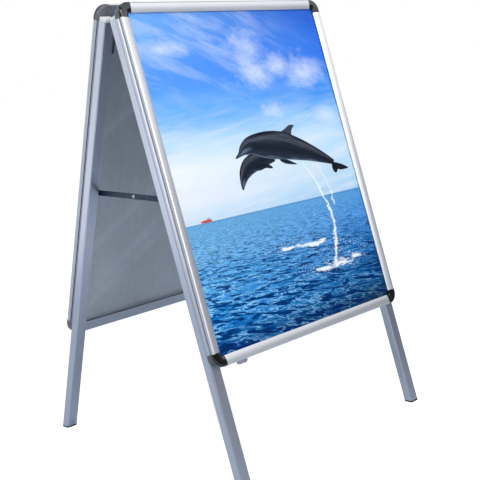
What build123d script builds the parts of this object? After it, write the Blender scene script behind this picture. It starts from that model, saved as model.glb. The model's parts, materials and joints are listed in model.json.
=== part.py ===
from build123d import *

import os
from math import cos, radians, sin

# Sandwich board: two snap-frame poster panels that lean on each other.
#
# Both panels are the same assembly. Each one is built on its own inclined plane: local x runs
# along the panel, local y up the panel from the fold line, local z outwards from the back of its
# legs. The board stands on Z = 0 with its middle over the origin, and faces -Y. Left is -X.

# ---- driving dimensions, in millimetres and degrees ----
LEAN = 16.4                         # each panel's lean from the vertical
POSTER_W, POSTER_H = 609.6, 762.0
POSTER_HIDDEN = 10.0                # edge of the poster that the flaps cover
BORDER = 22.8                       # frame width around the visible poster
FRAME_TOP = 3.0                     # top edge of a frame above the fold line

LEG_W, LEG_D = 28.0, 21.5           # leg section, along the panel and through it
LEG_WALL, LEG_R = 1.5, 3.0
HOLE_OVER = 1.0                     # how far a leg's holes reach past its wall
LEG_TOP = -27.0                     # top of the cut leg, below the fold line
LEG_RUN = 1036.0                    # fold line to floor, along the back of a leg
BACK_GAP = 3.0                      # fold axis to the back of either pair of legs

# base extrusion: u runs inwards from the outer edge, w outwards from the base's back
BASE_W, FLOOR_T, WALL_T, WALL_TOP = 24.0, 1.4, 1.4, 7.2
SHELF_U, SHELF_W, SHELF_T = 11.0, 9.6, 1.2
AXIS_U, AXIS_W = 3.4, 12.6          # flap hinge axis
BEAD_R, SOCKET_R, SOCKET_T = 1.5, 1.6, 1.2
SOCKET_FROM, SOCKET_ARC = 253.0, 223.5   # the mouth is narrower than the bead
SHOULDER = [(0, 5.4), (0, WALL_TOP), (2.6, 8.3), (3.2, 9.95), (4.3, 10.2), (3.9, 7.9), (WALL_T, 5.9)]

# flap and corner cap skins, in the same u and w
SKIN_T = 1.4
CROWN_R, CROWN_W = 4.8, 20.0
FLAP_EDGE_W, LIP_W, LIP_TIP_W = 14.6, 15.8, 13.1
NECK_T, NECK_END = 1.0, (0.7, 14.9)
NIB_U, NIB_T, NIB_W, NIB_H = 10.4, 1.0, 15.6, 3.2
END_GAP = 0.5                       # flap end to corner cap

# leaf springs under the flaps
SPRING_PATH = [(4.6, 1.7), (8.6, 1.7), (10.0, 9.5), (8.7, 17.2)]
SPRING_T, SPRING_BEND, SPRING_L = 0.6, 1.5, 22.0
SPRINGS = {"top": 2, "bottom": 2, "left": 3, "right": 3}

# sheets that lie on the shelf
PANEL_T, SHEET_T, COVER_T = 0.8, 0.4, 0.8

# corners
CORNER_R, CORNER_ARM = 26.0, 32.0
KEY_RIM_U, KEY_RIM_W = 12.3, 12.9
TONGUE_U, TONGUE_W, TONGUE_H, TONGUE_L = 7.5, 14.0, 6.6, 34.0
CAP_PROUD = 0.5

# leg ends
PLUG_FLANGE, PLUG_SPIGOT, PLUG_FIT, PLUG_EDGE, PLUG_INSET = 8.0, 15.0, 0.1, 2.5, 0.4
FOOT_T, FOOT_SPIGOT = 4.0, 22.0
SCREW_UP, SCREW_R, SCREW_HEAD_R, SCREW_HEAD_T, SCREW_L = 14.0, 1.6, 3.2, 1.5, 9.0

# blind rivets that hold the legs to the base
RIVET_R, RIVET_HEAD_R, RIVET_HEAD_T, RIVET_TAIL_R, RIVET_TAIL = 2.0, 3.8, 1.2, 3.0, 3.0
DOME_MID = 0.72                     # where a head's arc passes, as a share of its radius and height
LEG_RIVET_U = 16.0
LEG_RIVET_Y = [-100.0, -300.0, -500.0, -690.0]

# fold hinge
BRACKET_T, BRACKET_LOW, BRACKET_IN, BRACKET_OUT = 2.0, -95.0, -2.2, 15.0
BRACKET_R, EAR_R, EAR_GAP = 3.0, 9.0, 0.3
ARM_FOOT = -34.0                    # where the ear's arm starts on the bracket
JOGGLE = 6.0                        # length of the rear bracket's step, below the arm
BRACKET_RIVET_Y, BRACKET_RIVET_Z = [-54.0, -84.0], 7.5
BOLT_R, BOLT_FIT, BOLT_HEAD_R, BOLT_HEAD_T, BOLT_END = 3.0, 0.1, 5.5, 3.6, 2.0
NUT_R, NUT_T = 5.5, 4.6

# folding stays
STAY_DROP = 400.0                   # fold line to the stays
LINK_W, LINK_T = 12.0, 2.0
LINK_OFF = {"front": 2.4, "rear": 4.8}   # leg face to link
PIN_R, PIN_FIT, PIN_COLLAR_R, PIN_HEAD_R, PIN_HEAD_T, PIN_GAP = 2.5, 0.1, 4.5, 4.5, 1.8, 0.3

# drain plug under the bottom edge
DRAIN_FROM_EDGE, DRAIN_W, DRAIN_H, DRAIN_D, DRAIN_R = 88.0, 28.0, 9.0, 5.0, 6.0
DRAIN_STEM_R, DRAIN_STEM = 2.0, 5.0

# ---- worked out from the driving dimensions ----
FRAME_W = POSTER_W + 2 * (BORDER - POSTER_HIDDEN)
FRAME_H = POSTER_H + 2 * (BORDER - POSTER_HIDDEN)
FRAME_LOW = FRAME_TOP - FRAME_H
FRAME_MID = (FRAME_TOP + FRAME_LOW) / 2
SIN, COS = sin(radians(LEAN)), cos(radians(LEAN))
FOLD_Z = LEG_RUN * COS
AXIS_DROP = BACK_GAP / SIN          # fold axis below the fold line
AXIS_Y = -AXIS_DROP * COS           # and on a panel's own plane
SHELF_TOP = LEG_D + SHELF_W + SHELF_T
INBOARD_X = FRAME_W / 2 - LEG_W
LEG_X = FRAME_W / 2 - LEG_W / 2
FOOT_Y = -LEG_RUN
FLOOR_CUT = LEG_D                   # extra length that the level cut at the floor takes off
STAY_Z = LEG_D / 2
STAY_Y = -(STAY_DROP + STAY_Z * SIN) / COS
LINK_L = STAY_Z * COS - STAY_Y * SIN

UP = (0, 0, 1)
PANELS = {
    "front": Plane(origin=(0, 0, FOLD_Z), x_dir=(1, 0, 0), z_dir=(0, -COS, SIN)),
    "rear": Plane(origin=(0, 0, FOLD_Z), x_dir=(-1, 0, 0), z_dir=(0, COS, SIN)),
}
RAILS = ("top", "bottom", "left", "right")
SIDES = ("left", "right")
OUTBOARD = {"left": -1, "right": 1}  # sign of X on the board's left and right
# sign of a panel's own x on the board's left and right
SIDE_X = {"front": OUTBOARD, "rear": {side: -OUTBOARD[side] for side in SIDES}}


def within(base, origin, x_dir=(1, 0, 0), z_dir=UP):
    """A plane given in the coordinates of another plane."""
    return Plane(base.location * Plane(origin=origin, x_dir=x_dir, z_dir=z_dir).location)


def rail_length(rail):
    """Length of a rail between the corner pieces."""
    return (FRAME_W if rail in ("top", "bottom") else FRAME_H) - 2 * CORNER_ARM


def rail_plane(panel, rail):
    """Section plane at the middle of a rail: x is u, y is w, and z runs along the rail."""
    if rail in ("top", "bottom"):
        inwards = (0, -1 if rail == "top" else 1, 0)
        edge = (0, FRAME_TOP if rail == "top" else FRAME_LOW, LEG_D)
    else:
        side = SIDE_X[panel][rail]
        inwards = (-side, 0, 0)
        edge = (side * FRAME_W / 2, FRAME_MID, LEG_D)
    return within(PANELS[panel], edge, inwards, (inwards[1], -inwards[0], 0))


def corner_planes(panel):
    """Planes at the four outer corners, with x and y both inwards and z outwards."""
    half = FRAME_W / 2
    corners = [((-half, FRAME_LOW), (1, 0, 0)), ((half, FRAME_LOW), (0, 1, 0)),
               ((half, FRAME_TOP), (-1, 0, 0)), ((-half, FRAME_TOP), (0, -1, 0))]
    return [within(PANELS[panel], (x, y, LEG_D), inwards) for (x, y), inwards in corners]


def inboard_plane(panel, side, y, z, off=0.0):
    """Plane on a leg's inboard face, z pointing inboard, moved inboard by off."""
    sign = SIDE_X[panel][side]
    return within(PANELS[panel], (sign * (INBOARD_X - off), y, z), (0, 1, 0), (-sign, 0, 0))


def save(piece, name):
    piece.label = name
    export_step(piece, f"parts/{name}.step")


# ---- base extrusions ----
def make_base(panel, rail):
    with BuildPart() as base:
        with BuildSketch(rail_plane(panel, rail)):
            Rectangle(BASE_W, FLOOR_T, align=Align.MIN)
            Rectangle(WALL_T, WALL_TOP, align=Align.MIN)
            with Locations((BASE_W - WALL_T, 0)):
                Rectangle(WALL_T, SHELF_W + SHELF_T, align=Align.MIN)
            with Locations((SHELF_U, SHELF_W)):
                Rectangle(BASE_W - SHELF_U, SHELF_T, align=Align.MIN)
            with BuildLine():
                Polyline(*SHOULDER, close=True)
            make_face()
            with BuildLine():
                inner = CenterArc((AXIS_U, AXIS_W), SOCKET_R, SOCKET_FROM, SOCKET_ARC)
                outer = CenterArc((AXIS_U, AXIS_W), SOCKET_R + SOCKET_T, SOCKET_FROM, SOCKET_ARC)
                Line(inner @ 0, outer @ 0)
                Line(inner @ 1, outer @ 1)
            make_face()
        extrude(amount=rail_length(rail) / 2, both=True)
        if rail in SIDES:
            with Locations(*leg_rivet_planes(panel, rail, FLOOR_T)):
                Hole(RIVET_R, FLOOR_T)
        if rail == "bottom":
            with Locations(drain_plane(panel)):
                Cylinder(DRAIN_STEM_R, 2 * DRAIN_STEM, mode=Mode.SUBTRACT)
    return base.part


# ---- flaps and the corner caps, which have the same skin ----
def skin_line(foot_w, tip_w, proud):
    """Outer line of a skin, from its outer edge over the crown to the lip's tip."""
    rise = Line((0, foot_w), (0, CROWN_W + proud - CROWN_R))
    bend = RadiusArc(rise @ 1, (CROWN_R, CROWN_W + proud), CROWN_R)
    face = TangentArc(bend @ 1, (BORDER, LIP_W + proud), tangent=(1, 0))
    Line(face @ 1, (BORDER, tip_w))


def make_flap(panel, rail):
    neck = Vector(*NECK_END) - Vector(AXIS_U, AXIS_W)
    with BuildPart() as flap:
        with BuildSketch(rail_plane(panel, rail)):
            with BuildLine():
                skin_line(FLAP_EDGE_W, LIP_TIP_W, 0)
                offset(amount=SKIN_T, side=Side.RIGHT)
            make_face()
            with Locations((AXIS_U, AXIS_W)):
                Circle(BEAD_R)
                with Locations(neck / 2):
                    Rectangle(neck.length, NECK_T, rotation=neck.get_angle(Vector(1, 0)))
            with Locations((NIB_U, NIB_W)):
                Rectangle(NIB_T, NIB_H, align=Align.MIN)
        extrude(amount=rail_length(rail) / 2 - END_GAP, both=True)
    return flap.part


def make_springs(panel):
    with BuildPart() as springs:
        for rail, count in SPRINGS.items():
            pitch = rail_length(rail) / count
            for i in range(count):
                along = (i + 0.5) * pitch - rail_length(rail) / 2
                with BuildSketch(rail_plane(panel, rail).offset(along)):
                    with BuildLine():
                        FilletPolyline(*SPRING_PATH, radius=SPRING_BEND)
                    trace(line_width=SPRING_T)
                extrude(amount=SPRING_L / 2, both=True)
    return springs.part


def corner_line(inner):
    """L-shaped outline with a round outer corner, up to inner from the outer edges."""
    arc = CenterArc((CORNER_R, CORNER_R), CORNER_R, 180, 90)
    Polyline(arc @ 0, (0, CORNER_ARM), (inner, CORNER_ARM), (inner, inner), (CORNER_ARM, inner),
             (CORNER_ARM, 0), arc @ 1)


def make_corner_keys(panel):
    with BuildPart() as keys:
        for corner in corner_planes(panel):
            for inner, height in ((BASE_W, SHELF_W + SHELF_T), (KEY_RIM_U, KEY_RIM_W)):
                with BuildSketch(corner):
                    with BuildLine():
                        corner_line(inner)
                    make_face()
                extrude(amount=height)
            with BuildSketch(corner.offset(FLOOR_T)):
                with Locations((TONGUE_U, CORNER_R)):
                    Rectangle(TONGUE_W, CORNER_ARM - CORNER_R + TONGUE_L, align=Align.MIN)
                with Locations((CORNER_R, TONGUE_U)):
                    Rectangle(CORNER_ARM - CORNER_R + TONGUE_L, TONGUE_W, align=Align.MIN)
            extrude(amount=TONGUE_H)
    return keys.part


def make_corner_caps(panel):
    arm = CORNER_ARM - CORNER_R
    with BuildPart() as caps:
        for corner in corner_planes(panel):
            first = within(corner, (0, CORNER_R, 0), (1, 0, 0), (0, -1, 0))
            second = within(corner, (CORNER_R, 0, 0), (0, 1, 0), (1, 0, 0))
            turn = Axis(first.from_local_coords(Vector(CORNER_R, 0)), first.y_dir)
            for plane, along in ((first, -arm), (second, arm)):
                with BuildSketch(plane):
                    with BuildLine():
                        skin_line(KEY_RIM_W, LIP_TIP_W, CAP_PROUD)
                        offset(amount=SKIN_T, side=Side.RIGHT)
                    make_face()
                extrude(amount=along)
            with BuildSketch(first):
                with BuildLine():
                    skin_line(KEY_RIM_W, LIP_TIP_W, CAP_PROUD)
                    offset(amount=SKIN_T, side=Side.RIGHT)
                make_face()
            revolve(axis=turn, revolution_arc=90)
    return caps.part


# ---- sheets ----
def make_sheet(panel, low, thickness):
    with BuildPart() as sheet:
        with BuildSketch(within(PANELS[panel], (0, FRAME_MID, low))):
            Rectangle(POSTER_W, POSTER_H)
        extrude(amount=thickness)
    return sheet.part


# ---- legs and what is in their ends ----
def leg_plane(panel, side, y):
    """Section plane across a leg, with z down the leg."""
    return within(PANELS[panel], (SIDE_X[panel][side] * LEG_X, y, LEG_D / 2), (1, 0, 0), (0, -1, 0))


def leg_rivet_planes(panel, side, w):
    x = SIDE_X[panel][side] * (FRAME_W / 2 - LEG_RIVET_U)
    return [within(PANELS[panel], (x, y, LEG_D + w)) for y in LEG_RIVET_Y]


def foot_screw_plane(panel, side):
    """Plane on a leg's back face at the foot screw, with z away from the leg."""
    x = SIDE_X[panel][side] * LEG_X
    return within(PANELS[panel], (x, FOOT_Y + SCREW_UP, 0), (-1, 0, 0), (0, 0, -1))


def make_leg(panel, side):
    with BuildPart() as leg:
        with BuildSketch(leg_plane(panel, side, LEG_TOP)):
            RectangleRounded(LEG_W, LEG_D, LEG_R)
            offset(amount=-LEG_WALL, mode=Mode.SUBTRACT)
        extrude(amount=LEG_RUN + LEG_TOP + FLOOR_CUT)
        split(bisect_by=Plane.XY.offset(FOOT_T), keep=Keep.TOP)
        with Locations(*leg_rivet_planes(panel, side, 0)):
            Hole(RIVET_R, LEG_WALL + HOLE_OVER)
        with Locations(*bracket_rivet_planes(panel, side)):
            Hole(RIVET_R, LEG_WALL + HOLE_OVER)
        with Locations(inboard_plane(panel, side, STAY_Y, STAY_Z)):
            Hole(PIN_R, LEG_WALL + HOLE_OVER)
        with Locations(foot_screw_plane(panel, side)):
            Hole(SCREW_R, LEG_WALL + HOLE_OVER)
    return leg.part


def spigot_section():
    inset = 2 * (LEG_WALL + PLUG_FIT)
    RectangleRounded(LEG_W - inset, LEG_D - inset, LEG_R - LEG_WALL)


def make_leg_plugs(panel):
    with BuildPart() as plugs:
        for side in SIDES:
            top = leg_plane(panel, side, LEG_TOP)
            with BuildSketch(top):
                RectangleRounded(LEG_W - 2 * PLUG_INSET, LEG_D - 2 * PLUG_INSET, LEG_R)
            flange = extrude(amount=-PLUG_FLANGE)
            with BuildSketch(top):
                spigot_section()
            extrude(amount=PLUG_SPIGOT)
            fillet(flange.faces().sort_by(Axis.Z)[-1].edges(), PLUG_EDGE)
    return plugs.part


def make_foot(panel, side):
    with BuildPart() as foot:
        with BuildSketch(leg_plane(panel, side, FOOT_Y + FLOOR_CUT)):
            RectangleRounded(LEG_W, LEG_D, LEG_R)
        extrude(amount=2 * FLOOR_CUT)
        split(bisect_by=Plane.XY.offset(FOOT_T), keep=Keep.BOTTOM)
        with BuildSketch(leg_plane(panel, side, FOOT_Y + FOOT_T + FOOT_SPIGOT)):
            spigot_section()
        extrude(amount=FOOT_SPIGOT + FLOOR_CUT)
        split(bisect_by=Plane.XY, keep=Keep.TOP)
        with Locations(foot_screw_plane(panel, side)):
            Hole(SCREW_R, SCREW_L)
    return foot.part


def make_foot_screws(panel):
    with BuildPart() as screws:
        for side in SIDES:
            face = foot_screw_plane(panel, side)
            with BuildSketch(face):
                Circle(SCREW_HEAD_R)
            extrude(amount=SCREW_HEAD_T)
            with BuildSketch(face):
                Circle(SCREW_R)
            extrude(amount=-SCREW_L)
    return screws.part


# ---- rivets ----
def half_section(plane):
    """Plane that holds another plane's z axis as its own y axis, for a turned section."""
    return within(plane, (0, 0, 0), (1, 0, 0), (0, -1, 0))


def dome_line(base, radius, height):
    """Arc of a domed head, from its top on the axis down to its rim on the base."""
    middle = (radius * DOME_MID, base + height * DOME_MID)
    return ThreePointArc((0, base + height), middle, (radius, base))


def make_rivets(planes, grip):
    """Blind rivets: a domed head on each plane, a shank through grip and a tail behind it."""
    with BuildPart() as rivets:
        for plane in planes:
            with BuildSketch(half_section(plane)):
                with BuildLine():
                    dome = dome_line(0, RIVET_HEAD_R, RIVET_HEAD_T)
                    Polyline(dome @ 1, (RIVET_R, 0), (RIVET_R, -grip), (RIVET_TAIL_R, -grip),
                             (RIVET_TAIL_R, -grip - RIVET_TAIL), (0, -grip - RIVET_TAIL), dome @ 0)
                make_face()
            revolve(axis=Axis(plane.origin, plane.z_dir))
    return rivets.part


def make_leg_rivets(panel):
    planes = [plane for side in SIDES for plane in leg_rivet_planes(panel, side, FLOOR_T)]
    return make_rivets(planes, FLOOR_T + LEG_WALL)


# ---- fold hinge ----
def bracket_rivet_planes(panel, side, off=0.0):
    return [inboard_plane(panel, side, y, BRACKET_RIVET_Z, off) for y in BRACKET_RIVET_Y]


def make_bracket(panel, side):
    """Steel bracket on a leg's inboard face. The rear one steps inboard past the front ear."""
    step = BRACKET_T + EAR_GAP if panel == "rear" else 0.0
    low = inboard_plane(panel, side, 0, 0)
    ear = inboard_plane(panel, side, 0, 0, step)
    out = -SIDE_X[panel][side]      # low's y is the panel's z times this
    width = BRACKET_OUT - BRACKET_IN
    middle = out * (BRACKET_IN + BRACKET_OUT) / 2
    plate_top = ARM_FOOT - JOGGLE if step else ARM_FOOT
    hole_r = BOLT_R + (BOLT_FIT if panel == "front" else 0)
    with BuildPart() as bracket:
        with BuildSketch(low) as plate:
            with Locations(((BRACKET_LOW + plate_top) / 2, middle)):
                Rectangle(plate_top - BRACKET_LOW, width)
            fillet(plate.vertices().group_by(Axis.X)[0], BRACKET_R)
        extrude(amount=BRACKET_T)
        if step:
            with BuildSketch(within(low, (0, middle, 0), (1, 0, 0), (0, -1, 0))):
                with BuildLine():
                    Polyline((plate_top, 0), (plate_top, BRACKET_T), (ARM_FOOT, BRACKET_T + step),
                             (ARM_FOOT, step), close=True)
                make_face()
            extrude(amount=width / 2, both=True)
        with BuildSketch(ear):
            with BuildLine():
                CenterArc((AXIS_Y, -out * BACK_GAP), EAR_R, 0, 360)
                Polyline((ARM_FOOT, out * BRACKET_IN), (ARM_FOOT, out * BRACKET_OUT),
                         (ARM_FOOT + BRACKET_R, out * BRACKET_OUT),
                         (ARM_FOOT + BRACKET_R, out * BRACKET_IN), close=True)
            make_hull()
        extrude(amount=BRACKET_T)
        with Locations(within(ear, (AXIS_Y, -out * BACK_GAP, BRACKET_T))):
            Hole(hole_r, BRACKET_T)
        with Locations(*bracket_rivet_planes(panel, side, BRACKET_T)):
            Hole(RIVET_R, BRACKET_T)
    return bracket.part


def make_bracket_rivets(panel):
    planes = [plane for side in SIDES for plane in bracket_rivet_planes(panel, side, BRACKET_T)]
    return make_rivets(planes, BRACKET_T + LEG_WALL)


def bolt_plane(side, off):
    """Plane across the fold axis, off inboard of the legs' inboard faces, with z inboard."""
    x = OUTBOARD[side] * (INBOARD_X - off)
    return Plane(origin=(x, 0, FOLD_Z - AXIS_DROP), x_dir=(0, 1, 0), z_dir=(-OUTBOARD[side], 0, 0))


def make_hinge_bolts():
    shank = 2 * (BRACKET_T + EAR_GAP) + NUT_T + BOLT_END
    with BuildPart() as bolts:
        for side in SIDES:
            with BuildSketch(bolt_plane(side, -EAR_GAP)):
                RegularPolygon(BOLT_HEAD_R, 6)
            extrude(amount=-BOLT_HEAD_T)
            with BuildSketch(bolt_plane(side, -EAR_GAP)):
                Circle(BOLT_R)
            extrude(amount=shank)
    return bolts.part


def make_hinge_nuts():
    with BuildPart() as nuts:
        for side in SIDES:
            with BuildSketch(bolt_plane(side, 2 * BRACKET_T + EAR_GAP)):
                RegularPolygon(NUT_R, 6)
                Circle(BOLT_R, mode=Mode.SUBTRACT)
            extrude(amount=NUT_T)
    return nuts.part


# ---- folding stays ----
def make_link(panel, side):
    """Flat link from the pin on a leg to the centre of the stay, straight at rest."""
    pin = inboard_plane(panel, side, STAY_Y, STAY_Z, LINK_OFF[panel])
    along = Vector(0, 1 if panel == "front" else -1, 0)
    flat = Plane(origin=pin.origin, x_dir=along, z_dir=pin.z_dir)
    with BuildPart() as link:
        with BuildSketch(flat):
            with Locations((LINK_L / 2, 0)):
                SlotCenterToCenter(LINK_L, LINK_W)
            Circle(PIN_R + PIN_FIT, mode=Mode.SUBTRACT)
            with Locations((LINK_L, 0)):
                Circle(PIN_R, mode=Mode.SUBTRACT)
        extrude(amount=LINK_T)
    return link.part


def make_stay_pins(panel):
    """Pins through the legs' inboard walls, with a collar, the link's journal and a domed head."""
    collar = LINK_OFF[panel] - PIN_GAP
    head = LINK_OFF[panel] + LINK_T + PIN_GAP
    tail = -LEG_WALL - RIVET_TAIL
    with BuildPart() as pins:
        for side in SIDES:
            face = inboard_plane(panel, side, STAY_Y, STAY_Z)
            with BuildSketch(half_section(face)):
                with BuildLine():
                    dome = dome_line(head, PIN_HEAD_R, PIN_HEAD_T)
                    Polyline(dome @ 1, (PIN_R, head), (PIN_R, collar), (PIN_COLLAR_R, collar),
                             (PIN_COLLAR_R, 0), (PIN_R, 0), (PIN_R, -LEG_WALL), (PIN_HEAD_R, -LEG_WALL),
                             (PIN_HEAD_R, tail), (0, tail), dome @ 0)
                make_face()
            revolve(axis=Axis(face.origin, face.z_dir))
    return pins.part


def make_centre_rivet(side):
    """Rivet in the front link's end, with its head outboard. It stops at the link's inboard face."""
    x = OUTBOARD[side] * (INBOARD_X - LINK_OFF["front"])
    face = Plane(origin=(x, 0, FOLD_Z - STAY_DROP), x_dir=(0, 1, 0), z_dir=(OUTBOARD[side], 0, 0))
    with BuildPart() as centre:
        with BuildSketch(half_section(face)):
            with BuildLine():
                dome = dome_line(0, PIN_HEAD_R, PIN_HEAD_T)
                Polyline(dome @ 1, (PIN_R, 0), (PIN_R, -LINK_T), (0, -LINK_T), dome @ 0)
            make_face()
        revolve(axis=Axis(face.origin, face.z_dir))
    return centre.part


# ---- drain plug ----
def drain_plane(panel):
    """Plane on the outside of the bottom rail, with z into the rail."""
    x = DRAIN_FROM_EDGE - FRAME_W / 2
    return within(PANELS[panel], (x, FRAME_LOW, LEG_D + WALL_TOP / 2), (1, 0, 0), (0, 1, 0))


def make_drain_plug(panel):
    with BuildPart() as plug:
        with BuildSketch(within(drain_plane(panel), (0, 0, 0), (1, 0, 0), (0, 1, 0))) as tab:
            with Locations((0, DRAIN_H / 2)):
                Rectangle(DRAIN_W, DRAIN_H)
            fillet(tab.vertices().group_by(Axis.Y)[-1], DRAIN_R)
        extrude(amount=DRAIN_D / 2, both=True)
        with BuildSketch(drain_plane(panel)):
            Circle(DRAIN_STEM_R)
        extrude(amount=DRAIN_STEM)
    return plug.part


os.makedirs("parts", exist_ok=True)
for panel in PANELS:
    for rail in RAILS:
        save(make_base(panel, rail), f"{panel}_base_{rail}")
        save(make_flap(panel, rail), f"{panel}_flap_{rail}")
    for side in SIDES:
        save(make_leg(panel, side), f"{panel}_leg_{side}")
        save(make_foot(panel, side), f"{panel}_foot_{side}")
        save(make_bracket(panel, side), f"{panel}_hinge_bracket_{side}")
        save(make_link(panel, side), f"{panel}_stay_link_{side}")
    save(make_springs(panel), f"{panel}_flap_springs")
    save(make_corner_keys(panel), f"{panel}_corner_keys")
    save(make_corner_caps(panel), f"{panel}_corner_caps")
    save(make_sheet(panel, SHELF_TOP, PANEL_T), f"{panel}_back_panel")
    save(make_sheet(panel, SHELF_TOP + PANEL_T, SHEET_T), f"{panel}_poster")
    save(make_sheet(panel, SHELF_TOP + PANEL_T + SHEET_T, COVER_T), f"{panel}_poster_cover")
    save(make_leg_plugs(panel), f"{panel}_leg_plugs")
    save(make_foot_screws(panel), f"{panel}_foot_screws")
    save(make_leg_rivets(panel), f"{panel}_leg_rivets")
    save(make_bracket_rivets(panel), f"{panel}_bracket_rivets")
    save(make_stay_pins(panel), f"{panel}_stay_pins")
    save(make_drain_plug(panel), f"{panel}_drain_plug")
for side in SIDES:
    save(make_centre_rivet(side), f"stay_rivet_{side}")
save(make_hinge_bolts(), "hinge_bolts")
save(make_hinge_nuts(), "hinge_nuts")
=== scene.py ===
import json
import math

import bmesh
import bpy
from mathutils import Matrix, Vector


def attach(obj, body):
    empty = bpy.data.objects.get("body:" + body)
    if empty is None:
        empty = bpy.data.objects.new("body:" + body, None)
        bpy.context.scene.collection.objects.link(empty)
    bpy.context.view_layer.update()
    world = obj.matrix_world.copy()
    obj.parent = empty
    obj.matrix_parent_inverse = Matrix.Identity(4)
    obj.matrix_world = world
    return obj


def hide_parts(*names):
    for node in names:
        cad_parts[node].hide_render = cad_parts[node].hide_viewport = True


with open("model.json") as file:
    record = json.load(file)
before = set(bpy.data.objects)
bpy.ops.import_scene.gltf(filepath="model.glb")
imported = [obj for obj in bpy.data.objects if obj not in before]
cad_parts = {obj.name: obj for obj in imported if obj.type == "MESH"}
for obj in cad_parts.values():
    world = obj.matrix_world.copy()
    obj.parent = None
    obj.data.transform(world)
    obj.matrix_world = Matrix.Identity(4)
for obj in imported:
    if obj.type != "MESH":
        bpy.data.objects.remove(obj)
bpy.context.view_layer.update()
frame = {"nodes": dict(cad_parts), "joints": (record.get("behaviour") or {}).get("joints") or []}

JOINTS = {joint["name"]: joint for joint in frame["joints"]}
PANELS = ("front", "rear")
RAILS = ("top", "bottom", "left", "right")
SIDES = ("left", "right")


# ---- the two inclined panels, read from the frame ----
def panel_axes(panel):
    """Along the panel, up it, and outwards from it."""
    up = Vector(JOINTS[f"{panel}_left_flap_hinge"]["axis"])
    up = up if up.z > 0 else -up
    along = Vector((1 if panel == "front" else -1, 0, 0))
    return along, up, along.cross(up)


def panel_box(panel, node):
    """Lowest and highest corner of a CAD node along its panel's own axes."""
    axes = panel_axes(panel)
    places = [[v.co.dot(axis) for axis in axes] for v in frame["nodes"][node].data.vertices]
    return Vector(map(min, zip(*places))), Vector(map(max, zip(*places)))


LEAN = math.asin(abs(panel_axes("front")[1].y))


# ---- small helpers for node trees ----
UNSCALED = (1, 1, 1)
NOISE_RANGE = (0.3, 0.7)            # where nearly all values of a noise texture lie
MIX_FACTOR, MIX_FIRST, MIX_SECOND, MIX_RESULT = 0, 6, 7, 2      # colour sockets of a Mix node
BUMP_DEPTH = 0.0002


class Nodes:
    """A node tree with short calls for adding to it."""

    def __init__(self, tree):
        self.tree = tree

    def node(self, kind, inputs=None, **settings):
        made = self.tree.nodes.new("ShaderNode" + kind)
        for key, value in settings.items():
            setattr(made, key, value)
        for key, value in (inputs or {}).items():
            self.put(made.inputs[key], value)
        return made

    def put(self, socket, value):
        """Link another socket to this one, or give it a value."""
        if isinstance(value, bpy.types.NodeSocket):
            self.tree.links.new(value, socket)
        else:
            socket.default_value = value

    def math(self, operation, *values):
        return self.node("Math", dict(enumerate(values)), operation=operation).outputs[0]

    def chain(self, operation, values):
        """One operation over all the values in turn."""
        result = values[0]
        for value in values[1:]:
            result = self.math(operation, result, value)
        return result

    def total(self, *values):
        return self.chain("ADD", values)

    def product(self, *values):
        return self.chain("MULTIPLY", values)

    def most(self, *values):
        return self.chain("MAXIMUM", values)

    def gap(self, first, second):
        """How far two values are apart."""
        return self.math("ABSOLUTE", self.math("SUBTRACT", first, second))

    def mix(self, factor, first, second):
        made = self.node("Mix", {MIX_FACTOR: factor}, data_type="RGBA")
        self.put(made.inputs[MIX_FIRST], first)
        self.put(made.inputs[MIX_SECOND], second)
        return made.outputs[MIX_RESULT]

    def ramp(self, factor, stops, ease="LINEAR"):
        """Colour by factor, between stops of a factor and its colour."""
        made = self.node("ValToRGB", {0: factor})
        made.color_ramp.interpolation = ease
        marks = made.color_ramp.elements
        while len(marks) < len(stops):
            marks.new(0.5)
        for mark, (place, colour) in zip(marks, stops):
            mark.position = place
            mark.color = colour
        return made.outputs[0]

    def map_range(self, value, low, high, to_low=0.0, to_high=1.0):
        """Values from low to high moved to another range, and held at its ends."""
        made = self.node("MapRange", {0: value, 1: low, 2: high, 3: to_low, 4: to_high})
        return made.outputs[0]

    def spread(self, noise, low, high):
        """The values of a noise texture spread from low to high."""
        return self.map_range(noise, *NOISE_RANGE, low, high)

    def noise(self, vector, scale, detail=2.0, roughness=0.5, distortion=0.0):
        made = self.node("TexNoise", {"Vector": vector, "Scale": scale, "Detail": detail,
                                      "Roughness": roughness, "Distortion": distortion})
        return made.outputs[0]

    def split(self, vector):
        return self.node("SeparateXYZ", {0: vector}).outputs

    def scaled(self, vector, scale, rotation=(0, 0, 0), location=(0, 0, 0)):
        made = self.node("Mapping", {"Vector": vector, "Scale": scale, "Rotation": rotation,
                                     "Location": location})
        return made.outputs[0]

    def turned(self, vector, rotation):
        return self.scaled(vector, UNSCALED, rotation=rotation)

    def streaked(self, vector, angle, scale):
        """Scaled along and across a direction at an angle to x, in degrees."""
        return self.scaled(self.turned(vector, (0, 0, math.radians(-angle))), scale)

    def soft_spot(self, place, centre, size, core):
        """One inside an ellipse out to its core's share, falling to nothing at its edge."""
        shifted = self.scaled(place, (1 / size[0], 1 / size[1], 0),
                              location=(-centre[0] / size[0], -centre[1] / size[1], 0))
        reach = self.node("VectorMath", {0: shifted}, operation="LENGTH").outputs["Value"]
        return self.map_range(reach, 1.0, core)

    def soft_spots(self, place, spots, core):
        """The strongest of several soft spots, each a centre and a size."""
        return self.most(*[self.soft_spot(place, centre, size, core) for centre, size in spots])


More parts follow.
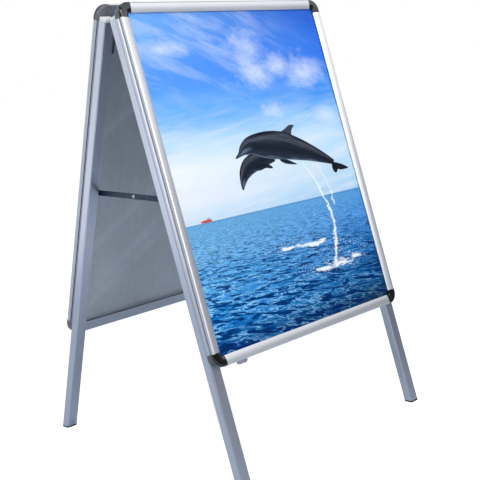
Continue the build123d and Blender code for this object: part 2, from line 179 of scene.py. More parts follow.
class Shader(Nodes):
    """The nodes of a new material."""

    def __init__(self, name):
        self.material = bpy.data.materials.new(name)
        self.material.use_nodes = True
        super().__init__(self.material.node_tree)
        self.bsdf = self.tree.nodes["Principled BSDF"]

    def set(self, **inputs):
        for key, value in inputs.items():
            self.put(self.bsdf.inputs[key.replace("_", " ")], value)

    def bump(self, height, strength):
        made = self.node("Bump", {"Height": height, "Strength": strength, "Distance": BUMP_DEPTH})
        self.put(self.bsdf.inputs["Normal"], made.outputs[0])

    def object_place(self):
        return self.node("TexCoord").outputs["Object"]

    def print_place(self):
        return self.node("TexCoord").outputs["UV"]

    def panel_place(self, panel):
        """Object coordinates turned about x until y runs up the panel.

        z then points out of the front panel, but into the rear one."""
        lean = LEAN if panel == "front" else -LEAN
        return self.turned(self.object_place(), (lean - math.pi / 2, 0, 0))


def rgb(red, green, blue):
    """Linear colour with alpha from display values of 0 to 255."""
    parts = [value / 255 for value in (red, green, blue)]
    return (*[p / 12.92 if p <= 0.04045 else ((p + 0.055) / 1.055) ** 2.4 for p in parts], 1.0)


# ---- metals ----
# Noise scales that stretch the drawn lines across the panel or up it
LINES_ACROSS, LINES_UP = (3, 900, 900), (900, 3, 900)
LINES = {"top": LINES_ACROSS, "bottom": LINES_ACROSS, "left": LINES_UP, "right": LINES_UP}
# A painted shade line on each panel's metal, in place of the shadow in a recess: its two heights
# above the back of the base and how dark it is. On the front it is the painted shadow in the seam
# under the flap edges, on the rear the painted shadow in the gap beside the leg.
SEAM = {"front": (0.0092, 0.0124, 0.85), "rear": (0.0011, 0.0054, 0.97)}
SEAM_BLUR = 0.0006
# Colour of the painted seam shade, and how much it roughens the metal there
SEAM_SHADE = rgb(26, 30, 38)
SEAM_SHADE_ROUGHENS = 0.4


def seam_shade_cover(shader, place, panel):
    """How much painted shade covers each point: a band between the seam's two heights."""
    outwards = 1.0 if panel == "front" else -1.0
    height = shader.product(shader.split(place)[2], outwards)
    back = panel_box(panel, f"{panel}_base_left")[0].z
    low, high, depth = SEAM[panel]
    above = shader.map_range(height, back + low - SEAM_BLUR, back + low + SEAM_BLUR)
    below = shader.map_range(height, back + high + SEAM_BLUR, back + high - SEAM_BLUR)
    return shader.product(above, below, depth)


def extruded_aluminium(name, panel, rail, colour, roughness, seam=False):
    """Satin anodised extrusion: drawn lines along the rail and faint patches."""
    shader = Shader(name)
    place = shader.panel_place(panel)
    lines = shader.noise(shader.scaled(place, LINES[rail]), 1.0, 3.0, 0.6)
    patches = shader.noise(place, 9.0, 2.0)
    tone = shader.total(shader.spread(lines, -0.035, 0.035), shader.spread(patches, -0.02, 0.02))
    dim = (*[0.88 * part for part in colour[:3]], 1.0)
    shade = shader.ramp(shader.total(tone, 0.5), [(0.4, dim), (0.6, colour)])
    rough = shader.spread(lines, roughness - 0.04, roughness + 0.05)
    shader.set(Metallic=1.0)
    # Painted shade in the seam: inside the band the metal turns dark, rougher and not metallic, so
    # it reads as a shadowed groove
    if seam:
        painted_shade = seam_shade_cover(shader, place, panel)
        shade = shader.mix(painted_shade, shade, SEAM_SHADE)
        rough = shader.total(rough, shader.product(painted_shade, SEAM_SHADE_ROUGHENS))
        shader.set(Metallic=shader.math("SUBTRACT", 1.0, painted_shade))
    shader.set(Base_Color=shade, Roughness=rough)
    shader.bump(lines, 0.08)
    return shader.material


def galvanised(name, panel):
    """Zinc coated sheet: soft spangle, faint rolling marks and a few diagonal rubs."""
    shader = Shader(name)
    place = shader.panel_place(panel)
    spangle = shader.node("TexVoronoi", {"Vector": place, "Scale": 70.0, "Randomness": 1.0})
    grain = shader.node("SeparateColor", {0: spangle.outputs["Color"]}).outputs[0]
    rolled = shader.noise(shader.scaled(place, (160, 1.5, 1)), 1.0, 2.0)
    rubs = shader.noise(shader.streaked(place, 36, (1.6, 20, 1)), 1.0, 1.0)
    clouds = shader.noise(place, 3.5, 3.0, 0.55)
    tone = shader.total(shader.map_range(grain, 0.0, 1.0, -0.03, 0.03),
                        shader.spread(rolled, -0.025, 0.025),
                        shader.map_range(rubs, 0.55, 0.8, 0.0, 0.14),
                        shader.spread(clouds, -0.05, 0.05))
    shade = shader.ramp(shader.total(tone, 0.5), [(0.3, rgb(170, 176, 182)),
                                                  (0.75, rgb(222, 226, 232))])
    shader.set(Base_Color=shade, Metallic=0.45,
               Roughness=shader.map_range(grain, 0.0, 1.0, 0.46, 0.58))
    shader.bump(grain, 0.04)
    return shader.material


def dark_chrome(name):
    """Polished black nickel: smoky reflections and fine swirl marks under a clear coat."""
    shader = Shader(name)
    here = shader.object_place()
    swirls = shader.noise(here, 420.0, 4.0, 0.7, 1.5)
    smoke = shader.noise(here, 40.0, 2.0)
    shader.set(Base_Color=shader.ramp(smoke, [(0.3, rgb(22, 24, 28)), (0.7, rgb(38, 40, 46))]),
               Metallic=1.0, Roughness=shader.map_range(swirls, 0.3, 0.8, 0.12, 0.22),
               Coat_Weight=1.0, Coat_Roughness=0.05, Coat_IOR=1.6)
    shader.bump(swirls, 0.03)
    return shader.material


def zinc_steel(name, dark, light):
    """Plated steel fastener or spring with fine mottling."""
    shader = Shader(name)
    mottle = shader.noise(shader.object_place(), 600.0, 3.0, 0.6)
    shader.set(Base_Color=shader.ramp(mottle, [(0.3, dark), (0.7, light)]), Metallic=1.0,
               Roughness=shader.spread(mottle, 0.22, 0.36))
    shader.bump(mottle, 0.1)
    return shader.material


def coated_steel(name, dark, light, roughness):
    """Painted strip or bracket: orange peel and worn patches."""
    shader = Shader(name)
    here = shader.object_place()
    peel = shader.noise(here, 900.0, 2.0)
    wear = shader.noise(here, 55.0, 5.0, 0.7)
    shader.set(Base_Color=shader.ramp(wear, [(0.35, dark), (0.72, light)]), Metallic=0.35,
               Roughness=shader.spread(peel, roughness - 0.05, roughness + 0.08))
    shader.bump(peel, 0.12)
    return shader.material


# ---- plastics ----
def moulded_plastic(name, dark, light, roughness):
    """Moulded part: spark-eroded grain and slight flow marks."""
    shader = Shader(name)
    here = shader.object_place()
    grain = shader.noise(here, 1400.0, 2.0, 0.6)
    flow = shader.noise(here, 35.0, 2.0, 0.5, 0.8)
    shader.set(Base_Color=shader.ramp(flow, [(0.3, dark), (0.7, light)]),
               Roughness=shader.spread(grain, roughness - 0.06, roughness + 0.08))
    shader.bump(grain, 0.15)
    return shader.material


def clear_sheet(name):
    """Clear anti-glare cover: almost invisible, with faint handling haze."""
    shader = Shader(name)
    haze = shader.noise(shader.object_place(), 14.0, 3.0, 0.6)
    shader.set(Base_Color=shader.ramp(haze, [(0.3, rgb(40, 44, 50)), (0.7, rgb(60, 66, 74))]),
               Roughness=shader.spread(haze, 0.1, 0.2), Alpha=0.035)
    return shader.material


# ---- the printed picture: a leaping pair of dolphins over an open sea ----
# Places in the picture are shares of the visible width, from its lower left corner.
HORIZON, HORIZON_BLUR = 0.473, 0.0015
PICTURE_TOP = 1.2585
VANISHING = 0.012                   # the waves' vanishing line above the horizon
WAVE_LINE = 0.54                    # noise value along which a wave's crest is drawn
PRINT_ROUGHNESS = 0.55

# Colours from the horizon to the top, at the left and at the right edge
SKY_LEFT = [(0.0, rgb(206, 229, 247)), (0.12, rgb(238, 243, 251)), (0.24, rgb(246, 250, 255)),
            (0.36, rgb(196, 227, 252)), (0.5, rgb(112, 182, 249)), (0.68, rgb(88, 156, 249)),
            (1.0, rgb(112, 172, 247))]
SKY_RIGHT = [(0.0, rgb(166, 211, 244)), (0.12, rgb(184, 222, 246)), (0.3, rgb(188, 226, 249)),
             (0.42, rgb(140, 198, 249)), (0.55, rgb(74, 150, 243)), (0.8, rgb(52, 118, 228)),
             (1.0, rgb(26, 90, 204))]
# The same from the bottom to the horizon
SEA_LEFT = [(0.0, rgb(0, 62, 134)), (0.27, rgb(14, 120, 202)), (0.55, rgb(64, 148, 220)),
            (0.82, rgb(120, 188, 244)), (0.985, rgb(120, 190, 246)), (1.0, rgb(70, 136, 200))]
SEA_RIGHT = [(0.0, rgb(0, 14, 54)), (0.27, rgb(0, 74, 138)), (0.55, rgb(20, 110, 190)),
             (0.82, rgb(88, 164, 242)), (0.985, rgb(102, 178, 248)), (1.0, rgb(52, 118, 190))]
CLOUD_WHITE = rgb(232, 240, 252)
TROUGH_BLUE = rgb(0, 38, 96)
GLINT_BLUE = rgb(104, 204, 255)
SPARK_WHITE = rgb(206, 242, 255)
FOAM_WHITE = rgb(244, 250, 255)
WATER_WHITE = rgb(248, 252, 255)

# Ellipses: centre and half axes
PUFFS = [((0.54, 1.09), (0.19, 0.16)), ((0.57, 1.01), (0.21, 0.12)), ((0.84, 1.00), (0.20, 0.14)),
         ((0.70, 1.03), (0.17, 0.09)), ((0.62, 0.845), (0.16, 0.08)), ((0.91, 0.80), (0.16, 0.08)),
         ((0.12, 1.12), (0.30, 0.06))]
FOAM = [((0.62, 0.296), (0.20, 0.020)), ((0.50, 0.302), (0.11, 0.012)),
        ((0.86, 0.200), (0.10, 0.024)), ((0.76, 0.190), (0.20, 0.026)),
        ((0.66, 0.186), (0.13, 0.018))]
SPRAY = [((0.78, 0.235), (0.24, 0.09)), ((0.50, 0.315), (0.26, 0.035)),
         ((0.62, 0.20), (0.16, 0.05))]
CHEEK = ((0.17, 0.36), (0.17, 0.2))         # on a figure's skin: snout to tail, belly to back

# Threads of falling water: height of the foot and of the top, places across from foot to top,
# thickness at the foot, and how dense the noise has to be to count as water
THREADS = [
    (0.185, 0.640, (0.725, 0.765, 0.785, 0.772, 0.735, 0.690), 0.012, 0.56),
    (0.430, 0.630, (0.815, 0.822, 0.818, 0.800, 0.780, 0.765), 0.007, 0.60),
]


def two_ramps(shader, level, across, left, right):
    """Colour by level, going over from one column of colours to another."""
    return shader.mix(shader.map_range(across, 0.05, 1.0), shader.ramp(level, left, "EASE"),
                      shader.ramp(level, right, "EASE"))


def sky_colour(shader, place, across, height):
    """Blue sky with low streaks of cloud, high fibres and a few puffs."""
    level = shader.map_range(height, HORIZON, PICTURE_TOP)
    colour = two_ramps(shader, level, across, SKY_LEFT, SKY_RIGHT)
    fibres = shader.noise(shader.streaked(place, -24, (1.6, 9.0, 1)), 2.0, 10.0, 0.66, 0.25)
    streaks = shader.noise(shader.streaked(place, 4, (1.2, 9.0, 1)), 2.4, 9.0, 0.62, 0.2)
    low_band = shader.product(shader.map_range(level, 0.62, 0.3),
                              shader.map_range(streaks, 0.42, 0.68))
    high_band = shader.product(shader.map_range(level, 0.42, 0.72),
                               shader.map_range(fibres, 0.46, 0.74),
                               shader.map_range(across, 0.45, 0.8, 1.0, 0.12))
    billow = shader.noise(shader.streaked(place, -20, (1.0, 1.7, 1)), 6.0, 12.0, 0.8, 0.2)
    gather = shader.map_range(shader.soft_spots(place, PUFFS, 0.1), 0.0, 1.0, -0.26, 0.17)
    puffs = shader.map_range(shader.total(billow, gather), 0.38, 0.76)
    cover = shader.most(shader.product(low_band, 0.75), shader.product(high_band, 0.5),
                        shader.product(puffs, 0.72))
    return shader.mix(cover, colour, CLOUD_WHITE)


def water_colour(shader, across, height):
    """Waves drawn on a flat sea that runs to the horizon, brighter on the left."""
    level = shader.map_range(height, 0.0, HORIZON)
    colour = two_ramps(shader, level, across, SEA_LEFT, SEA_RIGHT)
    depth = shader.math("SUBTRACT", HORIZON + VANISHING, height)
    ground = shader.node("CombineXYZ", {
        0: shader.math("DIVIDE", shader.math("SUBTRACT", across, 0.5), depth),
        1: shader.math("DIVIDE", 1.0, depth)}).outputs[0]
    swell = shader.noise(shader.streaked(ground, -14, (2.0, 3.4, 1)), 1.2, 3.0, 0.5, 0.5)
    ripple = shader.noise(shader.streaked(ground, -20, (2.4, 7.5, 1)), 1.3, 3.0, 0.55, 0.9)
    wavelet = shader.noise(shader.streaked(ground, -24, (3.0, 8.0, 1)), 2.6, 3.0, 0.55, 0.6)
    chop = shader.total(ripple, shader.product(shader.math("SUBTRACT", wavelet, 0.5), 0.4))
    troughs = shader.map_range(chop, 0.51, 0.40, 0.0, 0.9)
    off_chop, off_wavelet = shader.gap(chop, WAVE_LINE), shader.gap(wavelet, WAVE_LINE)
    crests = shader.product(shader.map_range(off_chop, 0.06, 0.005),
                            shader.map_range(swell, 0.32, 0.52))
    fine_crests = shader.product(shader.map_range(off_wavelet, 0.05, 0.0),
                                 shader.map_range(ripple, 0.48, 0.62, 0.0, 0.7))
    glints = shader.product(shader.most(crests, fine_crests),
                            shader.map_range(across, 0.0, 1.0, 0.95, 0.3),
                            shader.map_range(height, 0.0, 0.12, 0.45, 1.0))
    sparks = shader.product(shader.map_range(off_chop, 0.022, 0.004),
                            shader.map_range(swell, 0.38, 0.52),
                            shader.map_range(across, 0.0, 1.0, 0.85, 0.2),
                            shader.map_range(height, 0.0, 0.12, 0.4, 1.0))
    for cover, tint in ((troughs, TROUGH_BLUE), (glints, GLINT_BLUE), (sparks, SPARK_WHITE)):
        colour = shader.mix(cover, colour, tint)
    return colour


def foam_cover(shader, place):
    """How much of each point is foam or flying drops."""
    fleck = shader.noise(shader.scaled(place, (14, 40, 1)), 1.0, 8.0, 0.75)
    froth = shader.total(shader.soft_spots(place, FOAM, 0.0),
                         shader.map_range(fleck, 0.35, 0.65, -0.95, 0.05))
    drops = shader.product(shader.map_range(shader.noise(place, 105.0, 2.0), 0.60, 0.68),
                           shader.soft_spots(place, SPRAY, 0.2))
    return shader.most(shader.map_range(froth, 0.0, 0.35), shader.product(drops, 0.85))


def thread_cover(shader, place, across, height, foot, top, marks, width, density):
    """How much of one thread of water covers each point."""
    level = shader.map_range(height, foot, top)
    path = shader.node("FloatCurve", {"Factor": 1.0, "Value": level})
    curve = path.mapping.curves[0].points
    while len(curve) < len(marks):
        curve.new(0.5, 0.5)
    for i, mark in enumerate(marks):
        curve[i].location = (i / (len(marks) - 1), mark)
    path.mapping.update()
    shake = shader.noise(shader.scaled(place, (1, 1.4, 1)), 24.0, 3.0, 0.6)
    off = shader.gap(across, shader.total(path.outputs[0], shader.spread(shake, -0.010, 0.010)))
    thick = shader.map_range(level, 1.0, 0.3, 0.3 * width, width)
    core = shader.map_range(shader.math("DIVIDE", off, thick), 1.3, 0.2)
    beads = shader.total(shader.noise(place, 110.0, 3.0, 0.7), shader.product(core, 0.25))
    wet = shader.map_range(beads, density, density + 0.12)
    return shader.product(wet, core, shader.map_range(height, top, top - 0.03),
                          shader.map_range(height, foot - 0.006, foot + 0.006))


def picture_print(name):
    """Sky, sea, foam and falling water, by place in the picture."""
    shader = Shader(name)
    place = shader.print_place()
    across, height, _ = shader.split(place)
    sky = sky_colour(shader, place, across, height)
    sea = shader.mix(foam_cover(shader, place), water_colour(shader, across, height), FOAM_WHITE)
    below = shader.map_range(height, HORIZON + HORIZON_BLUR, HORIZON - HORIZON_BLUR)
    threads = shader.most(*[thread_cover(shader, place, across, height, *thread)
                            for thread in THREADS])
    shader.set(Base_Color=shader.mix(threads, shader.mix(below, sky, sea), WATER_WHITE),
               Roughness=PRINT_ROUGHNESS, Specular_IOR_Level=0.0)
    return shader.material


def skin_print(name):
    """Wet dark skin: u runs from snout to tail, v from belly to back."""
    shader = Shader(name)
    place = shader.print_place()
    along, across, _ = shader.split(place)
    streak = shader.noise(shader.scaled(place, (6, 16, 1)), 1.0, 5.0, 0.6)
    level = shader.total(across, shader.spread(streak, -0.12, 0.12))
    colour = shader.ramp(level, [(0.0, rgb(92, 106, 126)), (0.1, rgb(42, 50, 66)),
                                 (0.4, rgb(26, 31, 44)), (0.6, rgb(36, 42, 56)),
                                 (0.78, rgb(78, 84, 98)), (0.9, rgb(46, 50, 62)),
                                 (1.0, rgb(24, 27, 38))])
    cheek = shader.product(shader.soft_spot(place, *CHEEK, 0.2), 0.6)
    colour = shader.mix(cheek, colour, rgb(122, 152, 184))
    tail = shader.map_range(along, 0.82, 1.0, 0.0, 0.6)
    shader.set(Base_Color=shader.mix(tail, colour, rgb(24, 28, 40)), Roughness=PRINT_ROUGHNESS,
               Specular_IOR_Level=0.0)
    return shader.material


def plain_print(name, dark, light):
    """One colour of ink, slightly mottled."""
    shader = Shader(name)
    mottle = shader.noise(shader.print_place(), 60.0, 3.0)
    shader.set(Base_Color=shader.ramp(mottle, [(0.35, dark), (0.65, light)]),
               Roughness=PRINT_ROUGHNESS)
    return shader.material


def through(points, share):
    """A point on the smooth line through points, share of the way along it."""
    at = share * (len(points) - 1)
    i = min(int(at), len(points) - 2)
    t = at - i
    p0, p1, p2, p3 = (points[max(0, min(len(points) - 1, i + k))] for k in (-1, 0, 1, 2))
    return 0.5 * (2 * p1 + (p2 - p0) * t + (2 * p0 - 5 * p1 + 4 * p2 - p3) * t ** 2
                  + (3 * p1 - p0 - 3 * p2 + p3) * t ** 3)


# ---- the sheet that carries the picture ----
# The figures are thin layers of ink in the sheet. Depths below its front face:
INK = 0.00004
BEFORE, DETAIL, BEHIND, PAPER, FOOT = 1 * INK, 2 * INK, 3 * INK, 5 * INK, 6 * INK
SEA, SKIN, HULL, CABIN = range(4)           # material slots
SHEET_COLUMNS, SHEET_ROWS = 8, 10
BODY_COLUMNS = 8
BODY_THINNEST = 0.0008
LOOK_AHEAD = 0.01                           # share of a spine over which its direction is taken

BIG_SPINE = [(0.335, 0.684), (0.362, 0.697), (0.392, 0.714), (0.440, 0.724), (0.520, 0.716),
             (0.610, 0.704), (0.690, 0.681), (0.760, 0.656), (0.830, 0.626), (0.885, 0.600)]
BIG_GIRTH = [0.003, 0.010, 0.025, 0.039, 0.055, 0.057, 0.048, 0.036, 0.023, 0.011]
BIG_STEPS = 72
SMALL_SPINE = [(0.330, 0.562), (0.338, 0.586), (0.360, 0.622), (0.400, 0.650), (0.460, 0.664),
               (0.540, 0.672)]
SMALL_GIRTH = [0.004, 0.013, 0.027, 0.035, 0.034, 0.024]
SMALL_STEPS = 40

# Smaller shapes: outline, steps along it, depth, slot and the one place of the print it shows
SMALL_FLIPPER = ([(0.415, 0.640), (0.470, 0.648), (0.500, 0.640), (0.520, 0.627), (0.512, 0.622),
                  (0.480, 0.628), (0.440, 0.622)], 14, BEHIND, SKIN, (0.9, 0.3))
DETAILS = {
    "back_fin": ([(0.590, 0.752), (0.640, 0.768), (0.675, 0.782), (0.706, 0.778), (0.684, 0.764),
                  (0.672, 0.742), (0.668, 0.725)], 14, DETAIL, SKIN, (0.55, 0.93)),
    "far_fluke": ([(0.868, 0.604), (0.900, 0.596), (0.935, 0.584), (0.972, 0.565), (0.935, 0.563),
                   (0.905, 0.566), (0.872, 0.590)], 14, DETAIL, SKIN, (1.0, 0.5)),
    "near_fluke": ([(0.872, 0.606), (0.866, 0.585), (0.868, 0.566), (0.880, 0.553), (0.893, 0.562),
                    (0.902, 0.575), (0.905, 0.590)], 14, DETAIL, SKIN, (1.0, 0.5)),
    "big_flipper": ([(0.565, 0.655), (0.610, 0.646), (0.640, 0.632), (0.665, 0.619),
                     (0.640, 0.622), (0.600, 0.630), (0.575, 0.642)],
                    14, DETAIL, SKIN, (0.9, 0.3)),
    "ship_hull": ([(0.078, 0.478), (0.096, 0.482), (0.120, 0.482), (0.138, 0.479), (0.132, 0.474),
                   (0.105, 0.473), (0.086, 0.474)], 12, DETAIL, HULL, (0.5, 0.5)),
    "ship_cabin": ([(0.112, 0.482), (0.113, 0.487), (0.121, 0.489), (0.130, 0.487), (0.131, 0.482),
                    (0.124, 0.481), (0.117, 0.481)], 8, BEHIND, CABIN, (0.5, 0.5)),
}


class Picture:
    """A printed sheet built as one mesh, with its figures as thin layers of ink."""

    def __init__(self, panel):
        self.along, self.up, self.out = panel_axes(panel)
        self.low, self.high = panel_box(panel, f"{panel}_poster")
        flaps = {rail: panel_box(panel, f"{panel}_flap_{rail}") for rail in RAILS}
        left = min(flaps["left"][1].x, flaps["right"][1].x)
        right = max(flaps["left"][0].x, flaps["right"][0].x)
        self.corner = Vector((left, flaps["bottom"][1].y))
        self.width = right - left
        self.mesh = bmesh.new()
        self.uv = self.mesh.loops.layers.uv.new("UVMap")

    def spot(self, place, sunk):
        """A place in the picture, sunk below the front face of the sheet."""
        flat = self.corner + Vector(place) * self.width
        return self.along * flat.x + self.up * flat.y + self.out * (self.high.z - sunk)

    def face(self, verts, uvs, slot):
        made = self.mesh.faces.new(verts)
        made.material_index = slot
        for loop, uv in zip(made.loops, uvs):
            loop[self.uv].uv = uv

    def layer(self, grid, uvs, sunk, foot, slot):
        """A closed plate under a grid of places, its top sunk and its bottom at foot."""
        rows, columns = len(grid), len(grid[0])
        top = [[self.mesh.verts.new(self.spot(p, sunk)) for p in row] for row in grid]
        base = [[self.mesh.verts.new(self.spot(p, foot)) for p in row] for row in grid]
        for i in range(rows - 1):
            for j in range(columns - 1):
                cell = [(i, j), (i + 1, j), (i + 1, j + 1), (i, j + 1)]
                for verts, corners in ((top, cell), (base, cell[::-1])):
                    self.face([verts[a][b] for a, b in corners],
                              [uvs[a][b] for a, b in corners], slot)
        rim = [(i, 0) for i in range(rows)] + [(rows - 1, j) for j in range(1, columns)]
        rim += [(i, columns - 1) for i in range(rows - 2, -1, -1)]
        rim += [(0, j) for j in range(columns - 2, 0, -1)]
        for (a, b), (c, d) in zip(rim, rim[1:] + rim[:1]):
            self.face([top[c][d], top[a][b], base[a][b], base[c][d]],
                      [uvs[c][d], uvs[a][b], uvs[a][b], uvs[c][d]], slot)

    def sheet(self):
        """The paper itself, the size of the CAD poster."""
        low, high = ((Vector((corner.x, corner.y)) - self.corner) / self.width
                     for corner in (self.low, self.high))
        grid = [[(low.x + (high.x - low.x) * i / SHEET_COLUMNS,
                  low.y + (high.y - low.y) * j / SHEET_ROWS)
                 for j in reversed(range(SHEET_ROWS + 1))] for i in range(SHEET_COLUMNS + 1)]
        self.layer(grid, grid, PAPER, self.high.z - self.low.z, SEA)

    def outline(self, points, steps, sunk, slot, uv):
        """A closed plate between an outline's two sides, from its first point to its middle one."""
        half = len(points) // 2
        halves = (points[:half + 1], [points[0], *reversed(points[half:])])
        sides = [[Vector(p) for p in side] for side in halves]
        grid = [[through(side, i / steps) for side in sides] for i in range(1, steps)]
        self.layer(grid, [[uv] * 2 for _ in grid], sunk, FOOT, slot)

    def body(self, spine, girth, steps, sunk):
        """A figure drawn as a smooth spine with a smooth half-width."""
        spine = [Vector(p) for p in spine]
        grid, uvs = [], []
        for i in range(steps + 1):
            share = i / steps
            ahead = (through(spine, min(1, share + LOOK_AHEAD))
                     - through(spine, max(0, share - LOOK_AHEAD)))
            half_width = max(BODY_THINNEST, through(girth, share))
            side = Vector((-ahead.y, ahead.x)).normalized() * half_width
            middle = through(spine, share)
            grid.append([middle + side * (2 * j / BODY_COLUMNS - 1)
                         for j in range(BODY_COLUMNS + 1)])
            uvs.append([(share, j / BODY_COLUMNS) for j in range(BODY_COLUMNS + 1)])
        self.layer(grid, uvs, sunk, FOOT, SKIN)


def make_picture(panel, slots):
    """The printed sheet of one panel, in place of its CAD poster."""
    picture = Picture(panel)
    picture.sheet()
    picture.body(SMALL_SPINE, SMALL_GIRTH, SMALL_STEPS, BEHIND)
    picture.outline(*SMALL_FLIPPER)
    picture.body(BIG_SPINE, BIG_GIRTH, BIG_STEPS, BEFORE)
    for detail in DETAILS.values():
        picture.outline(*detail)
    data = bpy.data.meshes.new(f"{panel}_picture")
    bmesh.ops.recalc_face_normals(picture.mesh, faces=picture.mesh.faces)
    picture.mesh.to_mesh(data)
    picture.mesh.free()
    for material in slots:
        data.materials.append(material)
    made = bpy.data.objects.new(f"{panel}_picture", data)
    bpy.context.scene.collection.objects.link(made)
    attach(made, f"{panel}_frame")
    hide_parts(f"{panel}_poster")


# ---- finishes of the CAD nodes ----
SHARP, SHARP_CAPS = 30, 40          # degrees between faces from which an edge is shown sharp
FLAP_COLOUR, FLAP_ROUGHNESS = rgb(232, 233, 238), 0.46
RAW_COLOUR, BASE_ROUGHNESS, LEG_ROUGHNESS = rgb(212, 217, 230), 0.36, 0.34


def finish_node(name, material, sharp=SHARP):
    data = frame["nodes"][name].data
    data.materials.clear()
    data.materials.append(material)
    data.polygons.foreach_set("use_smooth", [True] * len(data.polygons))
    data.set_sharp_from_angle(angle=math.radians(sharp))


chrome = dark_chrome("black_nickel")
zinc = zinc_steel("zinc_plate", rgb(158, 160, 166), rgb(206, 208, 214))
spring = zinc_steel("spring_steel", rgb(96, 98, 104), rgb(140, 142, 148))
stay_coat = coated_steel("stay_coat", rgb(16, 30, 46), rgb(40, 66, 90), 0.34)
bracket_coat = coated_steel("bracket_coat", rgb(66, 68, 74), rgb(104, 107, 114), 0.42)
white_cap = moulded_plastic("white_cap", rgb(226, 227, 230), rgb(244, 244, 246), 0.4)
black_cap = moulded_plastic("black_cap", rgb(16, 16, 18), rgb(34, 34, 37), 0.5)
grey_key = moulded_plastic("grey_key", rgb(150, 152, 158), rgb(186, 188, 194), 0.38)
corner_key = moulded_plastic("corner_key", rgb(84, 86, 92), rgb(112, 114, 120), 0.3)
cover_sheet = clear_sheet("clear_cover")
prints = [picture_print("sea_print"), skin_print("skin_print"),
          plain_print("hull_print", rgb(196, 34, 38), rgb(226, 62, 56)),
          plain_print("cabin_print", rgb(60, 66, 84), rgb(226, 226, 230))]

for panel in PANELS:
    for rail in RAILS:
        finish_node(f"{panel}_flap_{rail}",
                    extruded_aluminium(f"{panel}_{rail}_flap_aluminium", panel, rail,
                                       FLAP_COLOUR, FLAP_ROUGHNESS, seam=True))
        finish_node(f"{panel}_base_{rail}",
                    extruded_aluminium(f"{panel}_{rail}_base_aluminium", panel, rail,
                                       RAW_COLOUR, BASE_ROUGHNESS, seam=True))
    leg_metal = extruded_aluminium(f"{panel}_leg_aluminium", panel, "left",
                                   RAW_COLOUR, LEG_ROUGHNESS)
    for side in SIDES:
        finish_node(f"{panel}_leg_{side}", leg_metal)
        finish_node(f"{panel}_foot_{side}", black_cap)
        finish_node(f"{panel}_hinge_bracket_{side}", bracket_coat)
        finish_node(f"{panel}_stay_link_{side}", stay_coat)
    finish_node(f"{panel}_back_panel", galvanised(f"{panel}_galvanised", panel))
    finish_node(f"{panel}_corner_caps", chrome, SHARP_CAPS)
    finish_node(f"{panel}_corner_keys", corner_key)
    finish_node(f"{panel}_flap_springs", spring)
    finish_node(f"{panel}_poster_cover", cover_sheet)
    finish_node(f"{panel}_poster", prints[SEA])
    finish_node(f"{panel}_leg_plugs", white_cap)
    finish_node(f"{panel}_drain_plug", grey_key)
    for fastener in ("foot_screws", "leg_rivets", "bracket_rivets", "stay_pins"):
        finish_node(f"{panel}_{fastener}", zinc)
    make_picture(panel, prints)
for fastener in ("stay_rivet_left", "stay_rivet_right", "hinge_bolts", "hinge_nuts"):
    finish_node(fastener, zinc)


# ---- floor and light ----
FLOOR_SIZE = 30.0
FLOOR_GLOW = 0.80                   # brings the floor up to white, for the camera only
ROOM_TINT = (0.93, 0.96, 1.0, 1)
ROOM_FROM, ROOM_TO = -5, 60         # degrees above the horizon between which the room brightens
ROOM_LOW, ROOM_HIGH = 0.08, 0.42
# Softbox all round overhead: height of its middle and half its width in degrees, and strength
OVERHEAD_HEIGHT, OVERHEAD_HALF, OVERHEAD_STRENGTH = 84, 10, 3.0
OVERHEAD_BLUR = 2
WHITE = (1, 1, 1, 1)

# Softboxes beside the board: place, the point that each faces, width and height, watts, colour
SOFTBOXES = {
    "key": ((-0.6, -3.4, 2.6), (0, 0, 0.5), (2.4, 2.4), 84, (1, 1, 1)),
    "right_box": ((1.12, -1.22, 1.98), (0, 0, 1.98), (2.4, 1.6), 12.5, (0.98, 0.98, 1.0)),
    "left_box": ((-1.20, 1.05, 1.10), (0, 0, 1.10), (2.4, 1.9), 10.5, (0.97, 0.97, 1.0)),
    "spark": ((-1.5, -1.0, 2.5), (0, 0, 0.9), (0.6, 0.6), 14, (1, 1, 1)),
}


def for_camera(kit, others, camera):
    """One shader for camera rays and another for all other rays."""
    return kit.node("MixShader", {0: kit.node("LightPath").outputs["Is Camera Ray"],
                                  1: others.outputs[0], 2: camera.outputs[0]}).outputs[0]


def make_floor():
    """Plain pale floor: near white to the camera, duller in the light that it passes on."""
    edge = FLOOR_SIZE / 2
    data = bpy.data.meshes.new("floor")
    data.from_pydata([(-edge, -edge, 0), (edge, -edge, 0), (edge, edge, 0), (-edge, edge, 0)],
                     [], [(0, 1, 2, 3)])
    floor = bpy.data.objects.new("floor", data)
    bpy.context.scene.collection.objects.link(floor)
    shader = Shader("floor_paint")
    grain = shader.noise(shader.object_place(), 1.5, 2.0)
    shader.set(Base_Color=shader.ramp(grain, [(0.3, rgb(180, 190, 202)),
                                              (0.7, rgb(188, 198, 210))]), Roughness=0.9)
    glow = shader.node("Emission", {"Color": WHITE, "Strength": FLOOR_GLOW})
    both = shader.node("AddShader", {0: shader.bsdf.outputs[0], 1: glow.outputs[0]})
    shader.put(shader.tree.nodes["Material Output"].inputs["Surface"],
               for_camera(shader, shader.bsdf, both))
    data.materials.append(shader.material)


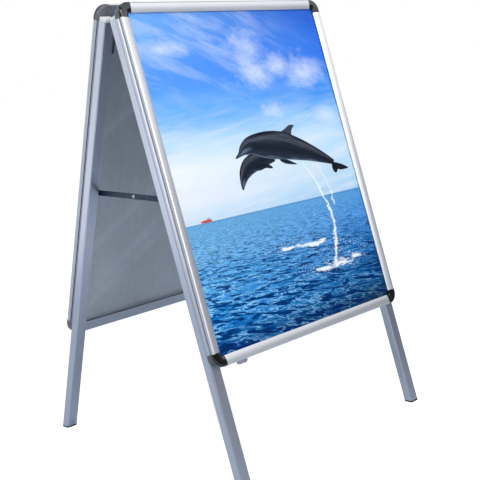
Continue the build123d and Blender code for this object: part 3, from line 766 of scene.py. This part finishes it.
def make_world():
    """White to the camera, and a dim room with an overhead softbox to everything else."""
    world = bpy.data.worlds.new("studio")
    bpy.context.scene.world = world
    world.use_nodes = True
    kit = Nodes(world.node_tree)
    rise = kit.split(kit.node("TexCoord").outputs["Generated"])[2]
    height = kit.math("DEGREES", kit.math("ARCSINE", rise))
    overhead = kit.map_range(kit.gap(height, OVERHEAD_HEIGHT),
                             OVERHEAD_HALF + OVERHEAD_BLUR, OVERHEAD_HALF - OVERHEAD_BLUR)
    light = kit.total(kit.map_range(height, ROOM_FROM, ROOM_TO, ROOM_LOW, ROOM_HIGH),
                      kit.product(overhead, OVERHEAD_STRENGTH))
    room = kit.node("Background", {"Color": ROOM_TINT, "Strength": light})
    seen = kit.node("Background", {"Color": WHITE, "Strength": 1.0})
    kit.put(kit.tree.nodes["World Output"].inputs["Surface"], for_camera(kit, room, seen))


def make_light(name, place, aim, size, power, colour):
    """Softbox that shows in the metal but not to the camera."""
    light = bpy.data.lights.new(name, "AREA")
    light.shape = "RECTANGLE"
    light.size, light.size_y = size
    light.energy = power
    light.color = colour
    lamp = bpy.data.objects.new(name, light)
    lamp.location = place
    lamp.rotation_euler = (Vector(aim) - Vector(place)).to_track_quat("-Z", "Y").to_euler()
    lamp.visible_camera = False
    bpy.context.scene.collection.objects.link(lamp)


# ---- camera: the photo's viewing angle, fitted to the outline of the board ----
EYE = (-1.6815, -1.7322, 0.9192)
HEADING, PITCH, ROLL = 0.8481, 0.1990, -0.0508      # radians
LENS, SENSOR, SHIFT = 75.77, 36.0, -0.1417


def make_camera():
    ahead = Vector((math.sin(HEADING) * math.cos(PITCH), math.cos(HEADING) * math.cos(PITCH),
                    -math.sin(PITCH)))
    level = Vector((math.cos(HEADING), -math.sin(HEADING), 0))
    right = level * math.cos(ROLL) + level.cross(ahead) * math.sin(ROLL)
    up = right.cross(ahead)
    turn = Matrix((right, up, -ahead)).transposed().to_4x4()
    camera = bpy.data.objects.new("camera", bpy.data.cameras.new("camera"))
    camera.data.lens, camera.data.sensor_width, camera.data.shift_x = LENS, SENSOR, SHIFT
    camera.matrix_world = Matrix.Translation(EYE) @ turn
    bpy.context.scene.collection.objects.link(camera)
    bpy.context.scene.camera = camera


make_floor()
make_world()
for name, settings in SOFTBOXES.items():
    make_light(name, *settings)
make_camera()
bpy.context.scene.view_settings.view_transform = "Standard"
